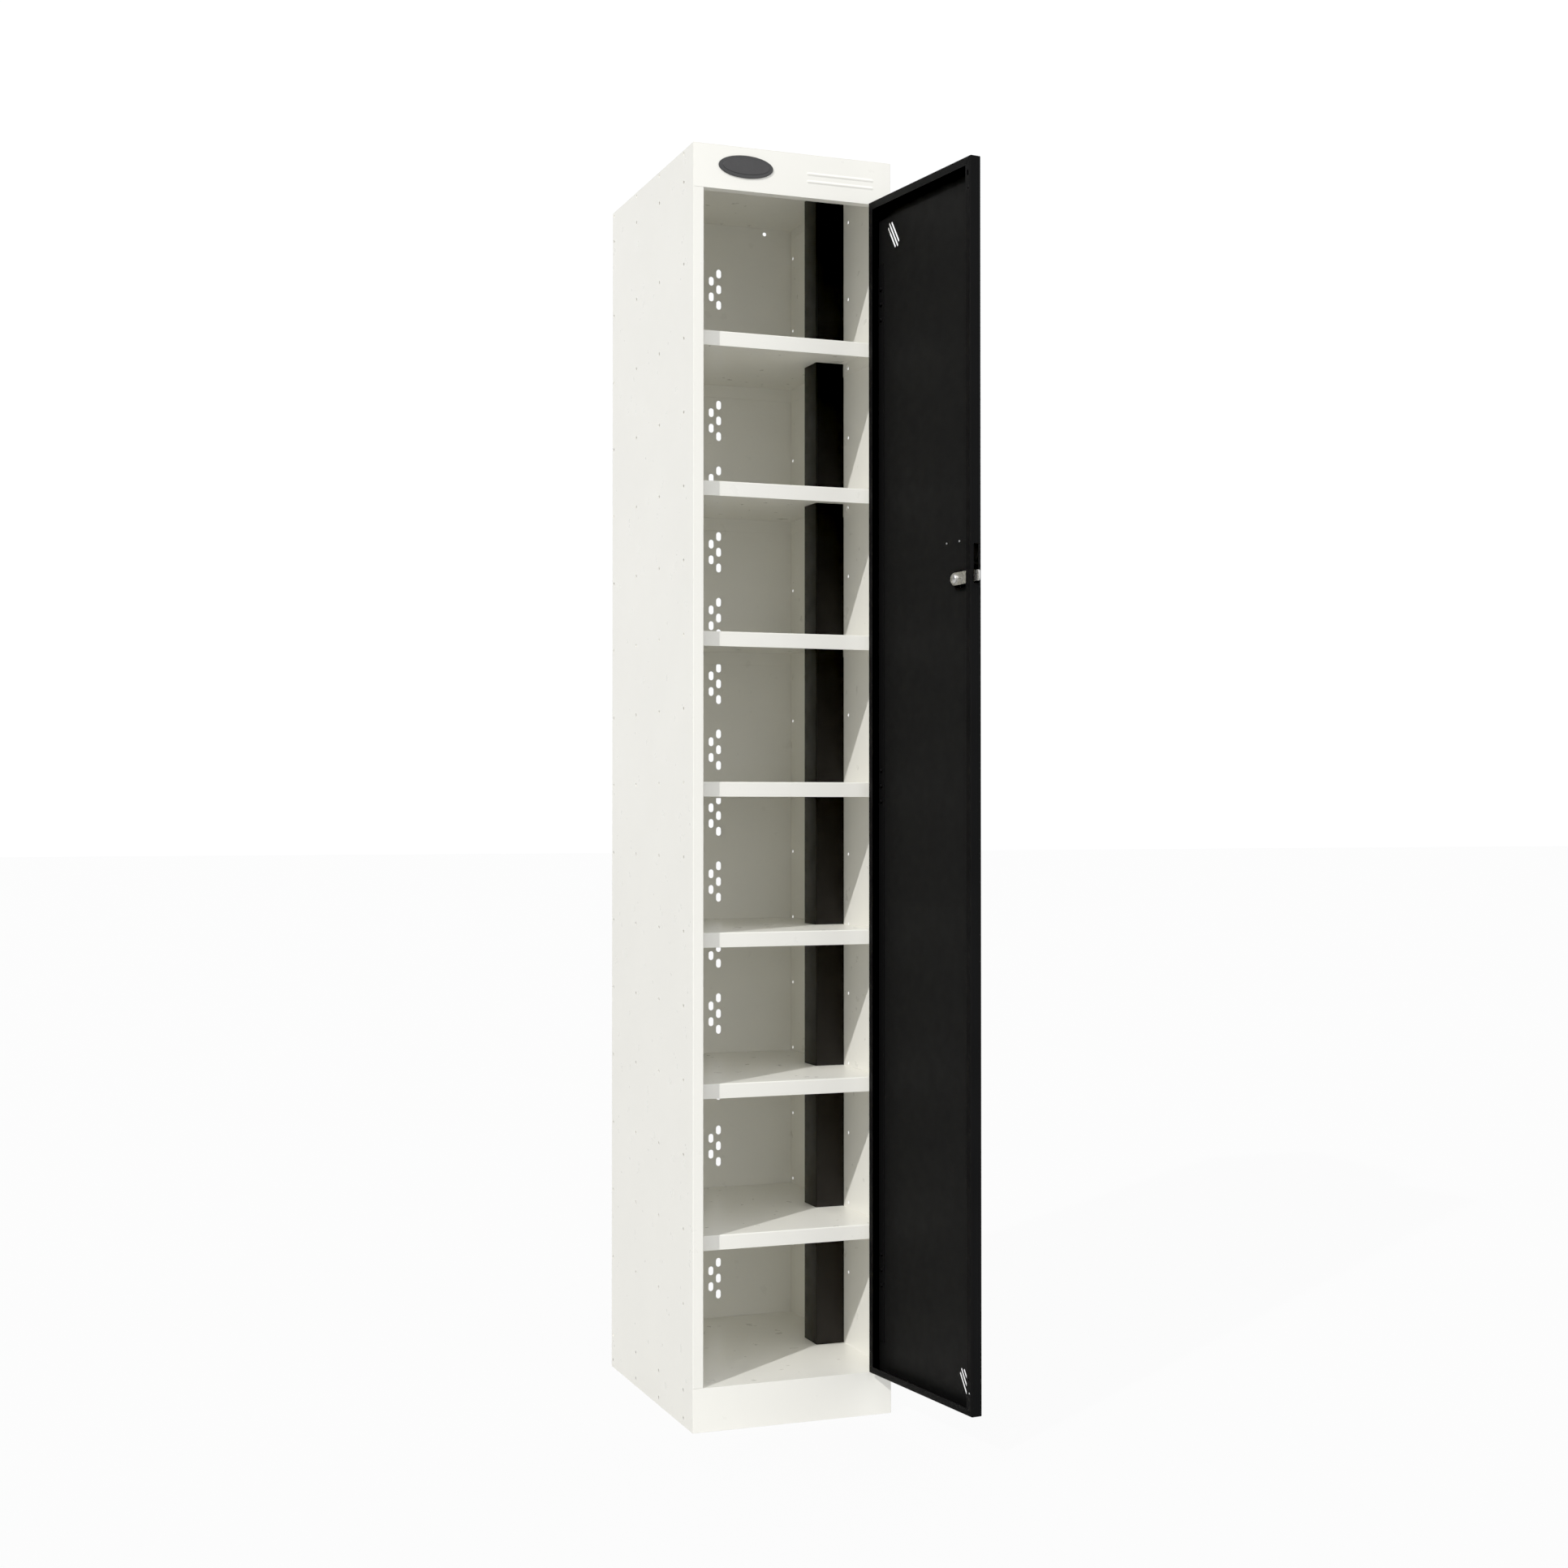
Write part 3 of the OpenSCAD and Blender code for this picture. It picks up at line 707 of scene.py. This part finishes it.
def slit_cutters():
    """Three parallel slits in each group, the middle one longer."""
    across = Vector((-math.sin(SLIT_ANGLE), math.cos(SLIT_ANGLE)))
    for centre in SLIT_CENTRES:
        for i, length in enumerate(SLIT_LENGTHS):
            middle = Vector(centre) + across * SLIT_PITCH * (i - 1)
            yield bar(obround(length, SLIT_WIDTH, middle, SLIT_ANGLE), "Y", -CUT, CUT)


def lip_cutters(low, high):
    """Slot, round holes and mitre lines in the lip at the latch edge."""
    x = low.x + LIP_HOLES_IN
    slot = obround(*LIP_SLOT, (x, LIP_SLOT_LEVEL), math.pi / 2)
    outlines = [slot, *(circle(LIP_HOLE_R, (x, z), 24) for z in LIP_HOLE_LEVELS)]
    for z, slope in ((high.z, -math.pi / 4), (low.z, math.atan(LIP_BOTTOM / LIP_LATCH))):
        way = Vector((math.cos(slope), math.sin(slope)))
        middle = Vector((low.x, z)) + way * MITRE_MIDDLE
        outlines.append(rounded(MITRE_LONG, MITRE_WIDE, MITRE_WIDE / 4, middle, 2, slope))
    return [bar(outline, "Y", high.y - CUT, high.y + CUT) for outline in outlines]


def door():
    """Pan with lips turned in on four sides, slits, and openings for the lock and its cam."""
    low, high = box("door_panel", OPEN)

    def place(x, z, depth):
        return Vector((x, low.y + depth, z))

    lips = [LIP_LATCH, LIP_HINGE, LIP_BOTTOM, LIP_TOP]
    shell = pan(low.x, high.x, low.z, high.z, high.y - low.y, lips, place)
    tools = [*slit_cutters(), bar(circle(LOCK_HOLE_R, lock_centre()), "Y", -CUT, CUT)]
    tools += [*lip_cutters(low, high), cam_slot(low.x)]
    piece("door_shell", perforated(shell, tools), "door", "door_paint", ["door_panel"], OPEN, edge=0)


def stiffener():
    """Angle inside the hinge edge."""
    low, high = box("door_stiffener", OPEN)
    half = STIFFENER / 2
    path = [(low.x, low.y + half), (high.x - half, low.y + half), (high.x - half, high.y)]
    angle = bar(strip(path, STIFFENER, 0.9 * MM), "Z", low.z, high.z)
    piece("door_stiffener_angle", angle, "door", "door_paint", ["door_stiffener"], OPEN, 0.2 * MM)


def number_plate():
    """Blank plate on the door's outer face and its two rivets."""
    low, high = box("number_plate", OPEN)
    centre = ((low.x + high.x) / 2, (low.z + high.z) / 2)
    width, height = high.x - low.x, high.z - low.z

    def shape(d):
        return rounded(width - 2 * d, height - 2 * d, 2.5 * MM - d, centre)

    plate = slab(shape, high.y, low.y, 0.05 * MM, 0.3 * MM)
    piece("number_plate_sheet", plate, "door", "plate_aluminium", ["number_plate"], OPEN, edge=0)
    offsets = (-PLATE_RIVET_DX, PLATE_RIVET_DX)
    pair = joined([rivet(centre[0] + dx, centre[1], low.y, SHEET, **PLATE_RIVET) for dx in offsets])
    nodes = ["number_plate_rivets"]
    piece("number_plate_rivet_pair", pair, "door", "zinc_steel", nodes, OPEN, edge=0)


# ---------------------------------------------------------------- lock


def lock_body():
    """Round rosette in front and a barrel through the door, bored for the plug."""
    low, high = box("lock_body", OPEN)
    flange, bore, barrel = (high.x - low.x) / 2, 6.6 * MM, 8 * MM
    profile = [(bore, low.y + 0.5 * MM), (bore + 0.5 * MM, low.y), (flange - 2.2 * MM, low.y)]
    profile += [(flange - 0.9 * MM, low.y + 0.5 * MM), (flange - 0.2 * MM, low.y + 1.5 * MM), (flange, 0)]
    profile += [(barrel, 0), (barrel, high.y - 0.5 * MM), (barrel - 0.5 * MM, high.y), (bore, high.y)]
    barrel_solid = turned(profile, lock_centre(), closed=True)
    piece("lock_body_barrel", barrel_solid, "door", "nickel", ["lock_body"], OPEN, edge=0)


def lock_nut():
    """Hexagon nut on the barrel, with its corners chamfered."""
    low, high = box("lock_nut", OPEN)
    centre = Vector(lock_centre())
    corner, bore, chamfer = (high.x - low.x) / 2, 8.15 * MM, 0.8 * MM
    flat = corner * math.cos(math.pi / 6)

    def ring(limit, y):
        """Hexagon at height y, no wider than the limit anywhere."""
        points = []
        for k in range(72):
            t = 2 * math.pi * k / 72
            r = min(flat / math.cos((t % (math.pi / 3)) - math.pi / 6), limit)
            points.append(ALONG["Y"](*(centre + r * Vector((math.cos(t), math.sin(t)))), y))
        return points

    levels = [(bore, low.y), (flat, low.y), (corner, low.y + chamfer)]
    levels += [(corner, high.y - chamfer), (flat, high.y), (bore, high.y)]
    nut = stack([ring(limit, y) for limit, y in levels], closed=True)
    piece("lock_nut_hexagon", nut, "door", "door_paint", ["lock_nut"], OPEN, edge=0)


def lock_plug():
    """Turning plug with a key slot in front and a square boss for the cam."""
    low, high = box("lock_plug", OPEN)
    centre = lock_centre()
    r, back = 6.5 * MM, 7.4 * MM
    profile = [(0.2 * MM, low.y), (r - 0.8 * MM, low.y), (r - 0.2 * MM, low.y + 0.25 * MM)]
    profile += [(r, low.y + 0.8 * MM), (r, back), (0.2 * MM, back)]
    key = bar(rounded(1.4 * MM, 8 * MM, 0.4 * MM, centre, 3), "Y", low.y - 1 * MM, 1 * MM)
    plug = boolean(turned(profile, centre), [key])
    boss = bar(rounded(7 * MM, 7 * MM, 0.6 * MM, centre, 4), "Y", back, high.y)
    whole = joined([plug, boss])
    piece("lock_plug_turned", whole, "lock_rotor", "nickel", ["lock_plug"], OPEN, edge=0.15 * MM)


CAM_THICK = 2.5 * MM
CAM_CUT = 5 * MM  # how far the outline reaches past the bar on both sides
CAM_BEND = (-100 * MM, -106 * MM)  # where the crank starts and ends
CAM_TIP_HALF, CAM_TIP_CORNER = 7.25 * MM, 3 * MM


def cam_outline(low, high):
    """The cam seen from behind: half-round hub, straight bar, narrower tip with round corners."""
    centre, half = Vector(lock_centre()), (high.z - low.z) / 2
    outline = []
    for a in arcs(math.pi, 24):
        outline.append(centre + half * Vector((math.sin(a), -math.cos(a))))
    outline.append(Vector((CAM_BEND[1], centre.y + half)))
    for side, quarter in ((1, math.pi / 2), (-1, math.pi)):
        up = side * (CAM_TIP_HALF - CAM_TIP_CORNER)
        middle = Vector((low.x + CAM_TIP_CORNER, centre.y + up))
        for a in arcs(math.pi / 2, 6):
            way = Vector((math.cos(quarter + a), math.sin(quarter + a)))
            outline.append(middle + CAM_TIP_CORNER * way)
    outline.append(Vector((CAM_BEND[1], centre.y - half)))
    return outline


def lock_cam():
    """Cranked bar, trimmed to the cam's outline."""
    low, high = box("lock_cam", OPEN)
    hub_y, tip_y = low.y + CAM_THICK / 2, high.y - CAM_THICK / 2
    path = [(high.x, hub_y), (CAM_BEND[0], hub_y), (CAM_BEND[1], tip_y), (low.x, tip_y)]
    bent = bar(strip(path, CAM_THICK, 3 * MM), "Z", low.z, high.z)
    cutter = bar(cam_outline(low, high), "Y", low.y - CAM_CUT, high.y + CAM_CUT)
    cam = boolean(bent, [cutter], "INTERSECT")
    piece("lock_cam_bar", cam, "lock_rotor", "nickel", ["lock_cam"], OPEN, 0.45 * MM, segments=3)


def cam_screw():
    """Domed screw that holds the cam on the plug."""
    low, high = box("cam_screw", OPEN)
    head_r, rim = (high.x - low.x) / 2, 1 * MM
    head_y = 9.9 * MM
    rise = high.y - head_y - rim
    turns = arcs(math.pi / 2, 9, 0.04)
    dome = [(head_r * math.cos(t), head_y + rim + rise * math.sin(t)) for t in turns]
    profile = [(0.3 * MM, low.y), (2 * MM, low.y), (2 * MM, head_y), (head_r - 0.3 * MM, head_y)]
    profile += [(head_r, head_y + 0.3 * MM), *dome]
    screw = turned(profile, lock_centre())
    piece("cam_screw_head", screw, "lock_rotor", "nickel", ["cam_screw"], OPEN, edge=0)


door()
stiffener()
number_plate()
lock_body()
lock_nut()
lock_plug()
lock_cam()
cam_screw()

# ---------------------------------------------------------------- stage, light and camera

FLOOR_WHITE = 0.93  # share of plain white in what the camera sees of the floor
BACKDROP_WHITE = 1.05  # strength of the surroundings straight to the camera


def floor():
    """Pale floor that melts into the white backdrop: to the camera it is nearly all white."""
    sheet = bmesh.new()
    bmesh.ops.create_grid(sheet, x_segments=8, y_segments=8, size=40)
    ground = as_object(sheet, "floor")
    n = Nodes("Floor_matt", 0.8)
    n.link(n.ramp(n.noise(1.5, 2), (0.45, 0.45, 0.45), (0.47, 0.47, 0.47)), "Base Color")
    white = n.add("Emission", Strength=1.0)
    seen = n.add("Math", {"Value": n.add("LightPath").outputs["Is Camera Ray"]})
    seen.operation = "MULTIPLY"
    seen.inputs[1].default_value = FLOOR_WHITE
    mix = n.add("MixShader", {"Fac": seen.outputs["Value"]})
    n.tree.links.new(n.shader.outputs["BSDF"], mix.inputs[1])
    n.tree.links.new(white.outputs["Emission"], mix.inputs[2])
    n.tree.links.new(mix.outputs["Shader"], n.tree.nodes["Material Output"].inputs["Surface"])
    ground.data.materials.append(n.material)


def world(even, front, top, back, left):
    """Surroundings brighter in front, overhead and in a narrow glow behind, dimmer at the left.

    The camera sees plain white behind the object.
    """
    studio = bpy.data.worlds.new("Studio")
    bpy.context.scene.world = studio
    studio.use_nodes = True
    tree = studio.node_tree

    def math_node(operation, *values):
        node = tree.nodes.new("ShaderNodeMath")
        node.operation = operation
        for socket, value in zip(node.inputs, values):
            if isinstance(value, (int, float)):
                socket.default_value = value
            else:
                tree.links.new(value, socket)
        return node.outputs["Value"]

    way = tree.nodes.new("ShaderNodeSeparateXYZ")
    tree.links.new(tree.nodes.new("ShaderNodeTexCoord").outputs["Generated"], way.inputs["Vector"])
    from_front = math_node("MAXIMUM", math_node("MULTIPLY", way.outputs["Y"], -front), 0)
    from_top = math_node("MAXIMUM", math_node("MULTIPLY", way.outputs["Z"], top), 0)
    behind = math_node("POWER", math_node("MAXIMUM", way.outputs["Y"], 0), 4)
    strength = math_node("ADD", math_node("ADD", from_front, from_top), even)
    strength = math_node("ADD", strength, math_node("MULTIPLY", behind, back))
    from_left = math_node("MAXIMUM", math_node("MULTIPLY", way.outputs["X"], -left), 0)
    strength = math_node("MULTIPLY", strength, math_node("SUBTRACT", 1, from_left))
    is_seen = tree.nodes.new("ShaderNodeLightPath").outputs["Is Camera Ray"]
    lit = math_node("MULTIPLY", strength, math_node("SUBTRACT", 1, is_seen))
    strength = math_node("ADD", lit, math_node("MULTIPLY", is_seen, BACKDROP_WHITE))
    surroundings = tree.nodes["Background"]
    surroundings.inputs["Color"].default_value = (0.98, 0.99, 1, 1)
    tree.links.new(strength, surroundings.inputs["Strength"])


def key_light(travel, strength, softness):
    """Sun that shines along travel. softness is its width in degrees."""
    data = bpy.data.lights.new("key", "SUN")
    data.energy = strength
    data.color = (1.0, 0.99, 0.975)
    data.angle = math.radians(softness)
    lamp = bpy.data.objects.new("key", data)
    lamp.rotation_euler = Vector(travel).to_track_quat("-Z", "Y").to_euler()
    bpy.context.scene.collection.objects.link(lamp)


def camera():
    data = bpy.data.cameras.new("camera")
    data.lens = 50.62
    data.sensor_width = 36
    eye = bpy.data.objects.new("camera", data)
    eye.location = (-1.120, -2.916, 0.866)
    eye.rotation_euler = (math.radians(90.67), 0, math.radians(-20.76))
    bpy.context.scene.collection.objects.link(eye)
    bpy.context.scene.camera = eye


floor()
world(even=0.13, front=0.86, top=0.90, back=1.0, left=0.62)
key_light(travel=(1.356, 1.0, -1.243), strength=1.98, softness=1.0)
camera()
view = bpy.context.scene.view_settings
view.view_transform = "Standard"
view.gamma = 1.2
view.use_curve_mapping = True
view.curve_mapping.black_level = (0.0035, 0.0035, 0.0035)  # keeps shadows on the black door deep
bpy.context.scene.cycles.diffuse_bounces = 8  # the compartments are lit mostly by bounced light
